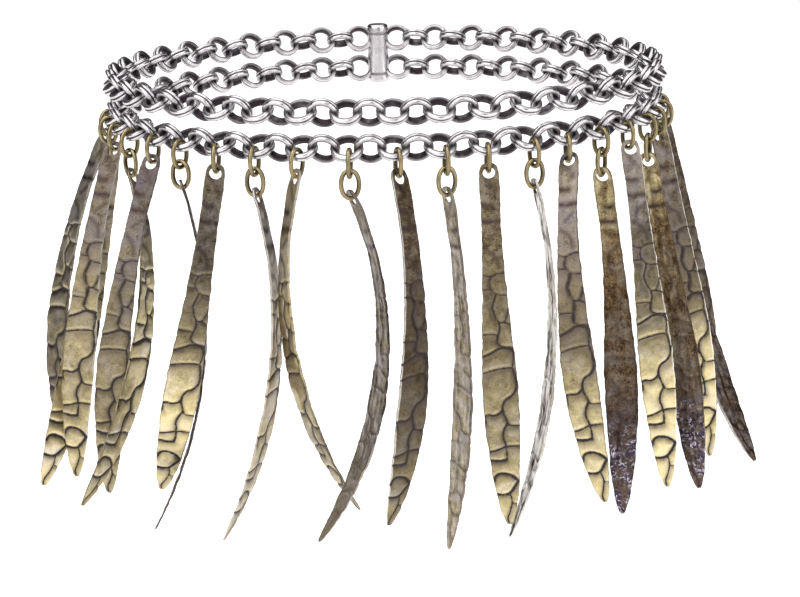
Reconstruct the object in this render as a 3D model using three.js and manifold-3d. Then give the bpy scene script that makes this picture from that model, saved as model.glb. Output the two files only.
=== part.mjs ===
// A two-row chain anklet with a fringe of long bowed leaf drops, in millimetres, +Z up.
// The origin is the middle of the ankle loop, halfway between the two chain rows. The middle
// of the fringe faces -Y. "Out" is away from the ankle, and "along" is round the loop, towards
// +X at the front.
import * as THREE from "three";
import { mergeVertices } from "three/addons/utils/BufferGeometryUtils.js";
import Module from "manifold-3d";

const wasm = await Module();
wasm.setup();

// ---- driving dimensions ----

const LOOP_LENGTH = 250; // round the ankle, along the middle of a row
const LINKS_AROUND = 80; // link places in a whole turn, 38 each side of the front one in use
const LAST_LINK = 38;
const ROW_SPACING = 4.85;
const LOOP_RADIUS = LOOP_LENGTH / (2 * Math.PI);
const PITCH = LOOP_LENGTH / LINKS_AROUND;

const LINK_SIDES = 8;
const LINK_OUTER = 2.14; // middle of the ring to the outer face
const LINK_INNER = 1.5; // middle of the ring to the inner face, so that pulled links meet
const LINK_BAND_INNER = 1.19; // width of the half-round wire on the inside of the ring
const LINK_BAND_OUTER = 0.85;
const LINK_LIFT = THREE.MathUtils.degToRad(58); // rise of an even link's axis above level
const END_GAP = 0.25; // between the last link of one length of chain and the first of the next
const CHAIN_LENGTHS = [26, 25, 26]; // links in each length, from one end of a row

const RING_WIRE = 0.63;
const RING_HALF_WIDTH = 1.215; // oval jump ring, to the middle of the wire
const RING_HALF_HEIGHT = 1.85;
const RING_GAP = 0.25; // clear space where one ring hangs on another
const RING_DROP = 0.8; // from the link's wire down to the middle of the first ring

const BLADE_LENGTH = 47.3; // hole to tip, in a straight line
const BLADE_THICKNESS = 0.4;
const HOLE_RADIUS = 0.88;
const HOLE_DROP = 0.26; // middle of the ring's wire to the middle of the hole, down the blade

// Width of the leaf at points measured along its curve from the hole, the tip last.
const BLADE_OUTLINE = [
  { along: -1.4, width: 1.3 },
  { along: -0.95, width: 2.3 },
  { along: 0, width: 2.7 },
  { along: 10, width: 2.65 },
  { along: 18, width: 3.35 },
  { along: 24.5, width: 4.3 },
  { along: 31.5, width: 4.75 },
  { along: 38, width: 4.2 },
  { along: 43, width: 3.3 },
  { along: 47, width: 1.9 },
  { along: 48.9, width: 0.6 },
];

// The 21 drops, from the left of the fringe to the right. Each hangs on every second link.
// slide: mm along the loop from the middle of its link; splay: degrees out from straight down;
// lean: degrees along the loop; turn: degrees that the embossed, bulging face is turned from
// facing out towards facing along; swing: degrees that the lowest ring is turned the same way;
// bow: how far the middle of the blade stands off the straight line from hole to tip.
const DROPS = [
  { place: -10, slide: 0, splay: 10.1, lean: 6.3, turn: 41, swing: 20, bow: 4.4 },
  { place: -9, slide: 0, splay: 16, lean: 15, turn: 103, swing: 6, bow: 3.5 },
  { place: -8, slide: 0.1, splay: 11.1, lean: 6.4, turn: 56, swing: 27, bow: 4.7 },
  { place: -7, slide: 0.1, splay: 18, lean: 11.7, turn: 120, swing: 15, bow: 6 },
  { place: -6, slide: 0.5, splay: 9.8, lean: -3.2, turn: 34, swing: 16, bow: 4.5 },
  { place: -5, slide: 0.2, splay: 10.3, lean: 0.9, turn: 136, swing: 23, bow: 4.7 },
  { place: -4, slide: 0.4, splay: 3.7, lean: -12.1, turn: 41, swing: 20, bow: 6.6 },
  { place: -3, slide: 0.1, splay: 8, lean: -4.3, turn: 97, swing: 3, bow: 4.8 },
  { place: -2, slide: -0.2, splay: -2.4, lean: 8.6, turn: -46, swing: -22, bow: 5.6 },
  { place: -1, slide: 0.5, splay: 10.8, lean: -6.6, turn: 123, swing: 17, bow: 7 },
  { place: 0, slide: 0.5, splay: 3.4, lean: -3.1, turn: 34, swing: 16, bow: 4.6 },
  { place: 1, slide: 0.5, splay: 3.2, lean: -1.4, turn: 109, swing: 10, bow: 2.1 },
  { place: 2, slide: -0.2, splay: 8.8, lean: -0.8, turn: -24, swing: -12, bow: 4.7 },
  { place: 3, slide: 0.3, splay: 3.9, lean: -7.9, turn: 74, swing: -8, bow: 3.8 },
  { place: 4, slide: -0.5, splay: 14.4, lean: -5, turn: -56, swing: -27, bow: 6.7 },
  { place: 5, slide: -0.4, splay: 6.6, lean: -3.3, turn: 117, swing: 13, bow: 4.7 },
  { place: 6, slide: -0.3, splay: 10.3, lean: -5.8, turn: -56, swing: -23, bow: 4.2 },
  { place: 7, slide: 0, splay: 11.2, lean: -5.2, turn: 105, swing: 5, bow: 4.6 },
  { place: 8, slide: -0.5, splay: 9.2, lean: 0, turn: -56, swing: -27, bow: 1.5 },
  { place: 9, slide: -0.1, splay: 16.3, lean: -10.5, turn: 136, swing: 19, bow: 2.8 },
  { place: 10, slide: -0.4, splay: 9.4, lean: -0.7, turn: -56, swing: -27, bow: 1.6 },
];

const CLASP_RADIUS = 1.7;
const CLASP_HEIGHT = 9.6;
const CLASP_CHAMFER = 0.5;

// ---- materials ----

const antiqueSilver = new THREE.MeshStandardMaterial({
  color: 0xa59fa6,
  roughness: 0.32,
  metalness: 1,
});
const ringBrass = new THREE.MeshStandardMaterial({ color: 0xa98f55, roughness: 0.35, metalness: 1 });
const bladeBrass = new THREE.MeshStandardMaterial({ color: 0x857145, roughness: 0.42, metalness: 1 });

// ---- solids ----

// A closed three.js geometry as a manifold-3d solid.
function solidOf(geometry) {
  const bare = geometry.clone();
  bare.deleteAttribute("normal");
  bare.deleteAttribute("uv");
  const merged = mergeVertices(bare, 1e-4);
  return new wasm.Manifold(
    new wasm.Mesh({
      numProp: 3,
      vertProperties: merged.attributes.position.array,
      triVerts: new Uint32Array(merged.index.array),
    }),
  );
}

function geometryOf(solid) {
  const mesh = solid.getMesh();
  return new THREE.BufferGeometry()
    .setAttribute("position", new THREE.BufferAttribute(mesh.vertProperties, 3))
    .setIndex(new THREE.BufferAttribute(mesh.triVerts, 1));
}

function joined(geometries) {
  return geometries.map(solidOf).reduce((whole, next) => whole.add(next));
}

// ---- the loop's directions at an angle from the front ----

const UP = new THREE.Vector3(0, 0, 1);
const outAt = (angle) => new THREE.Vector3(Math.sin(angle), -Math.cos(angle), 0);
const alongAt = (angle) => new THREE.Vector3(Math.cos(angle), Math.sin(angle), 0);

// A matrix that sends a piece's own X, Y and Z to three directions at right angles.
function placed(x, y, z, at) {
  return new THREE.Matrix4().makeBasis(x, y, z).setPosition(at);
}

// ---- chain ----

// One link: a ring of half-round wire about its own Y, with flat sides towards X and Z.
function linkGeometry(inner) {
  const toCorner = 1 / Math.cos(Math.PI / LINK_SIDES);
  const profile = [
    [inner, -LINK_BAND_INNER / 2],
    [LINK_OUTER, -LINK_BAND_OUTER / 2],
    [LINK_OUTER, LINK_BAND_OUTER / 2],
    [inner, LINK_BAND_INNER / 2],
    [inner, -LINK_BAND_INNER / 2],
  ].map(([radius, height]) => new THREE.Vector2(radius * toCorner, height));
  return new THREE.LatheGeometry(profile, LINK_SIDES, Math.PI / LINK_SIDES);
}

// Even links lean their lower edge out, and odd ones their upper edge, so each is square to
// the next.
function linkMatrix(index, height) {
  const angle = (index * 2 * Math.PI) / LINKS_AROUND;
  const lift = index % 2 === 0 ? LINK_LIFT : LINK_LIFT - Math.PI / 2;
  const across = outAt(angle).multiplyScalar(Math.cos(lift)).addScaledVector(UP, Math.sin(lift));
  const along = alongAt(angle);
  const at = outAt(angle).multiplyScalar(LOOP_RADIUS).setZ(height);
  return placed(along, across, new THREE.Vector3().crossVectors(along, across), at);
}

// A length of chain from one link to another, the slimmer end links clear of the next length.
function chainGeometry(first, last, height) {
  const links = [];
  for (let i = first; i <= last; i++) {
    const atEnd = i === first || i === last;
    const link = linkGeometry(atEnd ? (PITCH + END_GAP) / 2 : LINK_INNER);
    links.push(link.applyMatrix4(linkMatrix(i, height)));
  }
  return geometryOf(joined(links));
}

function addRow(group, name, height) {
  let first = -LAST_LINK;
  CHAIN_LENGTHS.forEach((count, n) => {
    const mesh = new THREE.Mesh(chainGeometry(first, first + count - 1, height), antiqueSilver);
    mesh.name = `${name}_chain_${n + 1}`;
    group.add(mesh);
    first += count;
  });
}

// ---- clasp: one plain turned bar with the last loop of each row soldered to it ----

function claspGeometry() {
  const top = CLASP_HEIGHT / 2;
  const profile = [
    [0, -top],
    [CLASP_RADIUS - CLASP_CHAMFER, -top],
    [CLASP_RADIUS, CLASP_CHAMFER - top],
    [CLASP_RADIUS, top - CLASP_CHAMFER],
    [CLASP_RADIUS - CLASP_CHAMFER, top],
    [0, top],
  ].map(([radius, height]) => new THREE.Vector2(radius, height));
  const bar = new THREE.LatheGeometry(profile, 16)
    .rotateX(Math.PI / 2)
    .translate(0, LOOP_RADIUS, 0);
  const loops = [];
  for (const height of [-ROW_SPACING / 2, ROW_SPACING / 2]) {
    for (const index of [-LAST_LINK - 1, LAST_LINK + 1]) {
      loops.push(linkGeometry((PITCH + END_GAP) / 2).applyMatrix4(linkMatrix(index, height)));
    }
  }
  return geometryOf(joined([bar, ...loops]));
}

// ---- jump ring: an oval of round wire about its own Z, tall along Y ----

function ringGeometry() {
  const ring = new THREE.TorusGeometry(RING_HALF_WIDTH, RING_WIRE / 2, 5, 10);
  const points = ring.attributes.position;
  const stretch = RING_HALF_HEIGHT - RING_HALF_WIDTH;
  for (let i = 0; i < points.count; i++) {
    const sine = Math.sin(Math.atan2(points.getY(i), points.getX(i)));
    points.setY(i, points.getY(i) + stretch * sine);
  }
  return geometryOf(solidOf(ring));
}

// ---- drop: a bowed leaf with its hole at the origin, its tip down -Y, bulging towards +Z ----

// The circle that a blade follows: its radius, and the angle from its middle to the hole.
function bowOf(height) {
  const half = BLADE_LENGTH / 2;
  const radius = (half ** 2 + height ** 2) / (2 * height);
  return { radius, halfAngle: Math.asin(half / radius) };
}

// A point of the bowed sheet: across it, along it from the hole, and off its middle surface.
function onBow(bow, across, along, off) {
  const angle = along / bow.radius - bow.halfAngle;
  const radius = bow.radius + off;
  const y = -(radius * Math.sin(angle) + bow.radius * Math.sin(bow.halfAngle));
  const z = radius * Math.cos(angle) - bow.radius * Math.cos(bow.halfAngle);
  return new THREE.Vector3(across, y, z);
}

function bladeGeometry(bow) {
  const steps = BLADE_OUTLINE.length - 1;
  const sheet = new THREE.BoxGeometry(1, steps, BLADE_THICKNESS, 1, steps, 1);
  const points = sheet.attributes.position;
  for (let i = 0; i < points.count; i++) {
    const row = BLADE_OUTLINE[Math.round(steps / 2 - points.getY(i))];
    const moved = onBow(bow, points.getX(i) * row.width, row.along, points.getZ(i));
    points.setXYZ(i, moved.x, moved.y, moved.z);
  }
  const drill = new THREE.CylinderGeometry(HOLE_RADIUS, HOLE_RADIUS, 4 * BLADE_THICKNESS, 10)
    .rotateX(Math.PI / 2)
    .rotateX(-bow.halfAngle);
  return geometryOf(solidOf(sheet).subtract(solidOf(drill)));
}

// ---- one drop with its jump rings ----

const ring = ringGeometry();

// The middle of the wire at the bottom of an even link, slid a little along the link's arc.
function hangingPoint(angle, slide) {
  const middle = (LINK_OUTER + LINK_INNER) / 2;
  const downAndOut = outAt(angle)
    .multiplyScalar(Math.sin(LINK_LIFT))
    .addScaledVector(UP, -Math.cos(LINK_LIFT));
  return outAt(angle)
    .multiplyScalar(LOOP_RADIUS)
    .setZ(-ROW_SPACING / 2)
    .addScaledVector(downAndOut, Math.sqrt(middle ** 2 - slide ** 2))
    .addScaledVector(alongAt(angle), slide);
}

function addPiece(group, name, geometry, material, matrix) {
  const mesh = new THREE.Mesh(geometry, material);
  mesh.name = name;
  matrix.decompose(mesh.position, mesh.quaternion, mesh.scale);
  group.add(mesh);
}

// An upright ring about a level axis.
function addRing(group, name, at, axis) {
  const across = new THREE.Vector3().crossVectors(UP, axis);
  addPiece(group, name, ring, ringBrass, placed(across, UP, axis, at));
}

// The place near the bottom of such a ring where its wire runs most nearly a given way.
function wirePoint(at, axis, way) {
  const across = new THREE.Vector3().crossVectors(UP, axis);
  const level = way.dot(across);
  const rise = (way.dot(UP) * Math.sign(level) * RING_HALF_WIDTH) / RING_HALF_HEIGHT;
  const angle = Math.atan2(rise, Math.abs(level));
  return at
    .clone()
    .addScaledVector(across, RING_HALF_WIDTH * Math.sin(angle))
    .addScaledVector(UP, -RING_HALF_HEIGHT * Math.cos(angle));
}

function addDrop(group, drop, number) {
  const angle = (drop.place * 4 * Math.PI) / LINKS_AROUND;
  const turned = (degrees) => {
    const turn = THREE.MathUtils.degToRad(degrees);
    return outAt(angle).multiplyScalar(Math.cos(turn)).addScaledVector(alongAt(angle), Math.sin(turn));
  };
  const twoRings = drop.place % 2 !== 0;
  const label = String(number).padStart(2, "0");
  const at = hangingPoint(angle, drop.slide).addScaledVector(UP, -RING_DROP);
  let ringAxis = turned(twoRings ? 90 : 90 + drop.swing);
  addRing(group, `jump_ring_${label}_upper`, at, ringAxis);
  if (twoRings) {
    at.addScaledVector(UP, RING_WIRE + RING_GAP - 2 * RING_HALF_HEIGHT);
    ringAxis = turned(drop.swing);
    addRing(group, `jump_ring_${label}_lower`, at, ringAxis);
  }

  const splay = THREE.MathUtils.degToRad(drop.splay);
  const lean = THREE.MathUtils.degToRad(drop.lean);
  const up = UP.clone()
    .multiplyScalar(Math.cos(splay))
    .addScaledVector(outAt(angle), -Math.sin(splay))
    .multiplyScalar(Math.cos(lean))
    .addScaledVector(alongAt(angle), -Math.sin(lean));
  const across = new THREE.Vector3().crossVectors(up, turned(drop.turn)).normalize();
  const bulge = new THREE.Vector3().crossVectors(across, up);
  const bow = bowOf(drop.bow);
  const holeAxis = new THREE.Vector3(0, Math.sin(bow.halfAngle), Math.cos(bow.halfAngle));
  const downBlade = new THREE.Vector3(0, -Math.cos(bow.halfAngle), Math.sin(bow.halfAngle));
  const frame = placed(across, up, bulge, new THREE.Vector3());
  const hole = wirePoint(at, ringAxis, holeAxis.applyMatrix4(frame));
  hole.addScaledVector(downBlade.applyMatrix4(frame), HOLE_DROP);
  addPiece(group, `drop_${label}`, bladeGeometry(bow), bladeBrass, frame.setPosition(hole));
}

// ---- assembly ----

const anklet = new THREE.Group();
addRow(anklet, "upper", ROW_SPACING / 2);
addRow(anklet, "lower", -ROW_SPACING / 2);
DROPS.forEach((drop, n) => addDrop(anklet, drop, n + 1));
const clasp = new THREE.Mesh(claspGeometry(), antiqueSilver);
clasp.name = "clasp";
anklet.add(clasp);

export default anklet;
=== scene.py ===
import math
import random

import bmesh
import bpy
import numpy as np
from mathutils import Euler, Matrix, Vector, noise


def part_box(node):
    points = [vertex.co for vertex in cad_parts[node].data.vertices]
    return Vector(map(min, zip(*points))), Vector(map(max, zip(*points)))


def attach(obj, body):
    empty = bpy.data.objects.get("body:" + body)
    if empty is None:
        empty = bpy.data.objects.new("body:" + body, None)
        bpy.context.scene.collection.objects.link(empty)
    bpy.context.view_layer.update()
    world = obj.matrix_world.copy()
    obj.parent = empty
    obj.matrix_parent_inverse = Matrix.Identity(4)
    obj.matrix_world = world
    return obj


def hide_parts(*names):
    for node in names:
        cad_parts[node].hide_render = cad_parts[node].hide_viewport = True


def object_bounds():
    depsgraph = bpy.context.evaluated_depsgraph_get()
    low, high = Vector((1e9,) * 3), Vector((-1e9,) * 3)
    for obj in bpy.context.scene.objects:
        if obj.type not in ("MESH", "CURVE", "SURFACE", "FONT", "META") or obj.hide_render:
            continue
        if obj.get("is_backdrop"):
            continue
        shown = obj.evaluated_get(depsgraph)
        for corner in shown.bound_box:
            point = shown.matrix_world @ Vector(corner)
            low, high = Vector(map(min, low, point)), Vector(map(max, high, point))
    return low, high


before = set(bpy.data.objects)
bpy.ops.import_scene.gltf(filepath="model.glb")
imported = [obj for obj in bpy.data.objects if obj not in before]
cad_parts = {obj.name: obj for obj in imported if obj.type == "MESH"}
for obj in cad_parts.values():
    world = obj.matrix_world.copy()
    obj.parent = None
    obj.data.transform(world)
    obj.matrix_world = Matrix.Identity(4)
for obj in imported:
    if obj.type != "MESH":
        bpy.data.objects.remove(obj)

bl_info = {
    "name": "Fringed chain anklet",
    "version": (1, 0, 0),
    "blender": (4, 5, 0),
    "location": "3D View > Sidebar > Anklet",
    "description": "Builds the two chain rows, jump rings, embossed leaf drops and clasp of an anklet",
    "category": "Add Mesh",
}

MM = 0.001
CAD_LOW, CAD_HIGH = (list(corner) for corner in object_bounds())
UP = Vector((0, 0, 1))
CHAIN_ROWS = ("upper", "lower")
LINKS_PER_LENGTH = (26, 25, 26)
LAST_LINK = sum(LINKS_PER_LENGTH) // 2

# ---------------------------------------------------------------- the drops' embossed pattern
#
# Each stroke is a groove pressed into the front of the leaf: its half width in mm, its depth
# from 0 to 1, and points (t, v), where t runs from the top end (0) to the tip (1) and v from
# the left edge (-1) to the right edge (1), seen from the front.

STROKES = (
    (0.13, 0.70, ((0.306, -1.0), (0.312, -0.24), (0.304, 0.23), (0.302, 1.0))),
    (0.13, 0.75, ((0.312, -0.24), (0.329, -0.42), (0.3435, -0.28), (0.358, 0.07), (0.361, 1.0))),
    (0.13, 0.70, ((0.344, -1.0), (0.344, -0.28))),
    (
        0.14,
        0.85,
        ((0.358, 0.07), (0.365, 0.02), (0.393, -0.28), (0.400, -0.20), (0.418, -0.07),
         (0.432, 0.18), (0.432, 0.54), (0.439, 1.0)),
    ),
    (0.11, 0.75, ((0.432, 0.54), (0.421, 0.74), (0.397, 1.0))),
    (0.13, 0.75, ((0.462, -1.0), (0.462, -0.06), (0.470, 0.04))),
    (
        0.15,
        0.90,
        ((0.434, 0.17), (0.446, 0.23), (0.4675, 0.06), (0.482, -0.05), (0.496, 0.18),
         (0.499, 1.0)),
    ),
    (0.17, 0.95, ((0.522, -1.0), (0.511, -0.37), (0.498, 0.14), (0.5036, 0.88), (0.518, 0.93))),
    (0.13, 0.80, ((0.5036, 0.91), (0.533, 0.89), (0.554, 0.77))),
    (0.14, 0.85, ((0.565, -1.0), (0.556, -0.18), (0.552, 0.61), (0.5556, 0.81))),
    (
        0.16,
        0.95,
        ((0.5556, 0.81), (0.574, 0.89), (0.608, 0.90), (0.628, 0.67), (0.637, 0.24),
         (0.652, 0.08), (0.669, 0.02), (0.678, -0.26), (0.680, -0.49), (0.6765, -0.71),
         (0.680, -1.0)),
    ),
    (0.10, 0.60, ((0.585, 0.90), (0.592, 1.0))),
    (
        0.14,
        0.85,
        ((0.652, 0.08), (0.678, 0.12), (0.699, 0.32), (0.708, 0.34), (0.710, 1.0)),
    ),
    (
        0.16,
        0.95,
        ((0.669, 0.02), (0.693, 0.25), (0.704, 0.27), (0.719, 0.06), (0.738, -0.04),
         (0.756, 0.09), (0.766, 0.125)),
    ),
    (0.16, 0.90, ((0.781, -1.0), (0.777, -0.44), (0.766, 0.125), (0.766, 1.0))),
    (0.16, 0.80, ((0.680, -0.97), (0.704, -0.93))),
    (0.17, 0.90, ((0.766, 0.13), (0.790, 0.16), (0.805, 0.12))),
    (0.22, 1.00, ((0.8055, -0.92), (0.809, -0.4), (0.8055, 0.12))),
    (
        0.21,
        1.00,
        ((0.864, -0.93), (0.851, -0.77), (0.844, -0.45), (0.8457, 0.04), (0.851, 0.43),
         (0.864, 0.83), (0.868, 0.89), (0.879, 0.75), (0.894, 0.49), (0.905, 0.19),
         (0.909, -0.29), (0.905, -1.0)),
    ),
    (0.14, 0.80, ((0.905, 0.19), (0.916, 0.36), (0.935, 0.42), (0.937, 1.0))),
    (0.14, 0.80, ((0.935, 0.42), (0.961, 0.16), (0.9795, -0.36), (0.994, -0.29))),
)

# Flat stains above the embossing, given the same way: half width in mm, strength, points.
STAINS = (
    (0.45, 0.55, ((0.040, -0.49), (0.083, 0.54))),
    (0.50, 1.00, ((0.117, -0.75), (0.122, -0.35), (0.120, 0.05))),
    (0.48, 1.00, ((0.162, -1.0), (0.166, -0.3), (0.163, 0.3), (0.165, 1.0))),
    (0.34, 0.60, ((0.190, 0.67), (0.2125, -0.29))),
    (0.38, 0.70, ((0.237, -0.66), (0.2585, 0.30), (0.287, 0.44))),
)
GROOVE_WIDENING = 1.35
# How far from a stroke the dirt and painted shade, the pillowed relief and the painted highlight on
# the cell edges reach.
SOIL_AND_SHADE_REACH = 0.50 * MM
PILLOW_REACH = 0.70 * MM
CELL_EDGE_HIGHLIGHT_REACH = 0.40 * MM

# The leaf's outline, the top end first: mm down from the top end, and width in mm.
LEAF_OUTLINE = (
    (0.00, 0.90),
    (0.12, 1.50),
    (0.35, 2.05),
    (0.75, 2.48),
    (1.40, 2.72),
    (3.0, 2.70),
    (5.0, 2.66),
    (8.5, 2.56),
    (12.1, 2.73),
    (15.6, 3.04),
    (19.1, 3.38),
    (22.9, 3.92),
    (25.9, 4.30),
    (28.2, 4.56),
    (30.8, 4.72),
    (33.2, 4.75),
    (35.7, 4.62),
    (39.4, 4.20),
    (43.3, 3.53),
    (45.0, 3.13),
    (46.8, 2.62),
    (48.4, 1.95),
    (49.3, 1.45),
    (49.9, 1.00),
    (50.3, 0.45),
)
LEAF_LENGTH = LEAF_OUTLINE[-1][0] * MM
HOLE_FROM_TOP = 1.4 * MM

# Below each of these places the sheet is thinner by this factor than above it.
THINNING_PLACES = (0.80, 0.84, 0.88, 0.92, 0.96)
THINNING = 0.89

# How each drop's finish has aged, with painted light in it too. Places along the leaf run from the
# top end (0) to the tip (1). tones: from dark bronze (0) to bright gold (1), at the five TONE_PLACES;
# the brightest also paint in glints where a drop catches the light, as on drop 14. grey: how far the
# brass has gone to grey-taupe, at the two GREY_PLACES. violet: how much heat-tinted film lies on it,
# at the three VIOLET_PLACES. rims, the edge highlights: how bright the painted highlight on each cut
# edge is, left and right, seen from the front. streaks: how strongly the back is streaked; above
# about 1.6 they also paint glints.
TONE_PLACES = (0.08, 0.28, 0.51, 0.75, 0.93)
GREY_PLACES = (0.24, 0.46)
VIOLET_PLACES = (0.30, 0.62, 0.82)
LOOK_COLUMNS = ("drop", "tones", "grey", "violet", "edge_highlights", "streaks")
LOOKS = (
    (1, (0.90, 0.86, 0.40, 0.18, 0.26), (0.8, 0.3), (0.1, 0.1, 0.1), (0.0, 0.0), 0.5),
    (2, (0.24, 0.40, 0.56, 0.80, 0.95), (0.3, 0.2), (0.3, 0.0, 0.0), (0.0, 0.0), 0.5),
    (3, (0.14, 0.20, 0.42, 0.46, 0.68), (0.4, 0.1), (0.4, 0.1, 0.0), (0.0, 0.3), 0.5),
    (4, (0.80, 0.98, 0.78, 0.56, 0.58), (0.4, 0.2), (0.2, 0.0, 0.0), (0.0, 0.0), 0.6),
    (5, (0.12, 0.28, 0.30, 0.28, 0.54), (0.6, 0.2), (0.5, 0.1, 0.0), (0.0, 0.0), 0.5),
    (6, (0.20, 0.16, 0.14, 0.10, 0.12), (1.0, 1.0), (0.2, 0.2, 0.2), (0.0, 0.0), 0.6),
    (7, (0.22, 0.20, 0.30, 1.00, 0.84), (0.4, 0.1), (0.3, 0.0, 0.0), (0.0, 0.0), 0.5),
    (8, (0.56, 0.46, 0.52, 0.62, 0.62), (0.8, 0.4), (0.2, 0.0, 0.0), (0.3, 0.0), 1.1),
    (9, (0.98, 0.92, 0.96, 0.36, 0.55), (0.6, 0.2), (0.0, 0.0, 0.0), (0.0, 0.0), 1.2),
    (10, (0.46, 0.38, 0.60, 1.00, 1.00), (0.7, 0.8), (0.3, 0.2, 0.0), (0.0, 0.0), 0.7),
    (11, (0.05, 0.04, 0.05, 0.13, 0.34), (0.3, 0.3), (0.0, 0.0, 0.0), (0.8, 0.0), 0.5),
    (12, (0.54, 0.60, 0.60, 0.66, 0.64), (0.8, 0.7), (0.1, 0.1, 0.0), (0.0, 0.0), 0.5),
    (13, (0.08, 0.14, 0.26, 0.34, 0.66), (0.2, 0.1), (0.0, 0.0, 0.0), (0.0, 0.0), 0.5),
    (14, (0.56, 0.80, 0.94, 1.00, 0.84), (1.0, 1.0), (0.0, 0.1, 0.1), (0.5, 0.6), 5.0),
    (15, (0.36, 0.26, 0.16, 0.60, 0.80), (0.6, 0.1), (0.5, 0.1, 0.0), (0.0, 0.0), 0.5),
    (16, (0.52, 0.17, 0.18, 0.18, 0.30), (0.0, 0.3), (0.0, 0.1, 1.0), (0.0, 0.0), 0.3),
    (17, (0.36, 0.20, 0.38, 1.00, 1.00), (0.7, 0.1), (0.3, 0.0, 0.0), (0.0, 0.9), 0.5),
    (18, (0.52, 0.18, 0.26, 0.30, 0.32), (0.0, 0.3), (0.0, 0.3, 1.0), (0.0, 0.0), 0.3),
    (19, (0.22, 0.14, 0.17, 0.94, 0.90), (0.5, 0.1), (0.4, 0.1, 0.0), (0.0, 1.0), 0.5),
    (20, (0.08, 0.10, 0.15, 0.08, 0.10), (0.8, 0.7), (0.0, 0.1, 0.1), (0.0, 0.6), 0.2),
    (21, (0.06, 0.09, 0.12, 0.13, 0.22), (0.6, 0.6), (0.0, 0.0, 0.0), (0.0, 0.0), 0.4),
)

# Which side of a lower jump ring shows its cut, by drop: -1 left, 1 right.
RING_CUT_SIDE = {6: -1, 8: -1, 10: 1, 12: 1, 14: -1, 16: -1}


# ---------------------------------------------------------------- settings


class AnkletChainSettings(bpy.types.PropertyGroup):
    loop_length: bpy.props.FloatProperty(
        name="Loop length", description="Length of a chain row round the ankle",
        default=0.250, min=0.15, max=0.35, unit="LENGTH", subtype="DISTANCE",
    )
    links_around: bpy.props.IntProperty(
        name="Link places", description="Link places in a whole turn of a row", default=80, min=20
    )
    link_diameter: bpy.props.FloatProperty(
        name="Link diameter", description="Outside diameter of a round link",
        default=0.00448, min=0.001, unit="LENGTH", subtype="DISTANCE",
    )
    link_band: bpy.props.FloatProperty(
        name="Link width", description="Width of a link's wire along the link's axis",
        default=0.00119, min=0.0002, unit="LENGTH", subtype="DISTANCE",
    )
    polish: bpy.props.FloatVectorProperty(
        name="Polished silver", description="Colour of the rubbed outer faces",
        default=(0.74, 0.71, 0.73), min=0, max=1, subtype="COLOR",
    )
    # Dark silver: patina on the inner faces, and painted shade there and where links meet.
    patina: bpy.props.FloatVectorProperty(
        name="Dark silver", description="Colour of the blackened inner faces",
        default=(0.062, 0.048, 0.056), min=0, max=1, subtype="COLOR",
    )
    lift: bpy.props.FloatProperty(
        name="Link lift", description="Rise of an even link's axis above level",
        default=math.radians(58), unit="ROTATION", subtype="ANGLE",
    )


class AnkletRingSettings(bpy.types.PropertyGroup):
    wire: bpy.props.FloatProperty(
        name="Wire", description="Diameter of a jump ring's wire",
        default=0.00063, min=0.0001, unit="LENGTH", subtype="DISTANCE",
    )
    width: bpy.props.FloatProperty(
        name="Width", description="Width of the oval, between the middles of the wire",
        default=0.00243, min=0.0005, unit="LENGTH", subtype="DISTANCE",
    )
    height: bpy.props.FloatProperty(
        name="Height", description="Height of the oval, between the middles of the wire",
        default=0.0037, min=0.0005, unit="LENGTH", subtype="DISTANCE",
    )
    brass: bpy.props.FloatVectorProperty(
        name="Ring brass", description="Colour of the rubbed brass wire",
        default=(0.36, 0.29, 0.155), min=0, max=1, subtype="COLOR",
    )
    # Also the colour of the painted shade on the inner side of the ring.
    patina: bpy.props.FloatVectorProperty(
        name="Dark ring brass", description="Colour of the aged brass wire",
        default=(0.050, 0.038, 0.022), min=0, max=1, subtype="COLOR",
    )


class AnkletDropSettings(bpy.types.PropertyGroup):
    thickness: bpy.props.FloatProperty(
        name="Thickness", description="Thickness of the leaf's sheet",
        default=0.00034, min=0.0002, unit="LENGTH", subtype="DISTANCE",
    )
    groove_depth: bpy.props.FloatProperty(
        name="Groove depth", description="Depth of the deepest embossed line",
        default=0.00034, min=0, unit="LENGTH", subtype="DISTANCE",
    )
    ragged: bpy.props.FloatProperty(
        name="Ragged edge", description="How far the leaf's edges wander",
        default=0.00010, min=0, unit="LENGTH", subtype="DISTANCE",
    )
    hole_radius: bpy.props.FloatProperty(
        name="Hole radius", description="Radius of the hole that the jump ring goes through",
        default=0.00084, min=0.0002, unit="LENGTH", subtype="DISTANCE",
    )
    gold: bpy.props.FloatVectorProperty(
        name="Gold brass", description="Colour of the brightest brass",
        default=(0.88, 0.74, 0.40), min=0, max=1, subtype="COLOR",
    )
    bronze: bpy.props.FloatVectorProperty(
        name="Bronze", description="Colour of the darkest aged brass",
        default=(0.050, 0.033, 0.019), min=0, max=1, subtype="COLOR",
    )
    taupe: bpy.props.FloatVectorProperty(
        name="Taupe", description="Colour of the brightest greyed brass",
        default=(0.69, 0.62, 0.57), min=0, max=1, subtype="COLOR",
    )
    umber: bpy.props.FloatVectorProperty(
        name="Umber", description="Colour of the darkest greyed brass",
        default=(0.046, 0.034, 0.030), min=0, max=1, subtype="COLOR",
    )
    violet: bpy.props.FloatVectorProperty(
        name="Violet film", description="Colour of the heat-tinted film",
        default=(0.060, 0.048, 0.072), min=0, max=1, subtype="COLOR",
    )
    groove: bpy.props.FloatVectorProperty(
        name="Groove", description="Colour of the oxide in the embossed lines",
        default=(0.026, 0.018, 0.018), min=0, max=1, subtype="COLOR",
    )
    # Also the colour of the painted shade round the embossed lines.
    stain: bpy.props.FloatVectorProperty(
        name="Stain", description="Colour of the stains beside the lines and at the top",
        default=(0.046, 0.029, 0.028), min=0, max=1, subtype="COLOR",
    )


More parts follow.
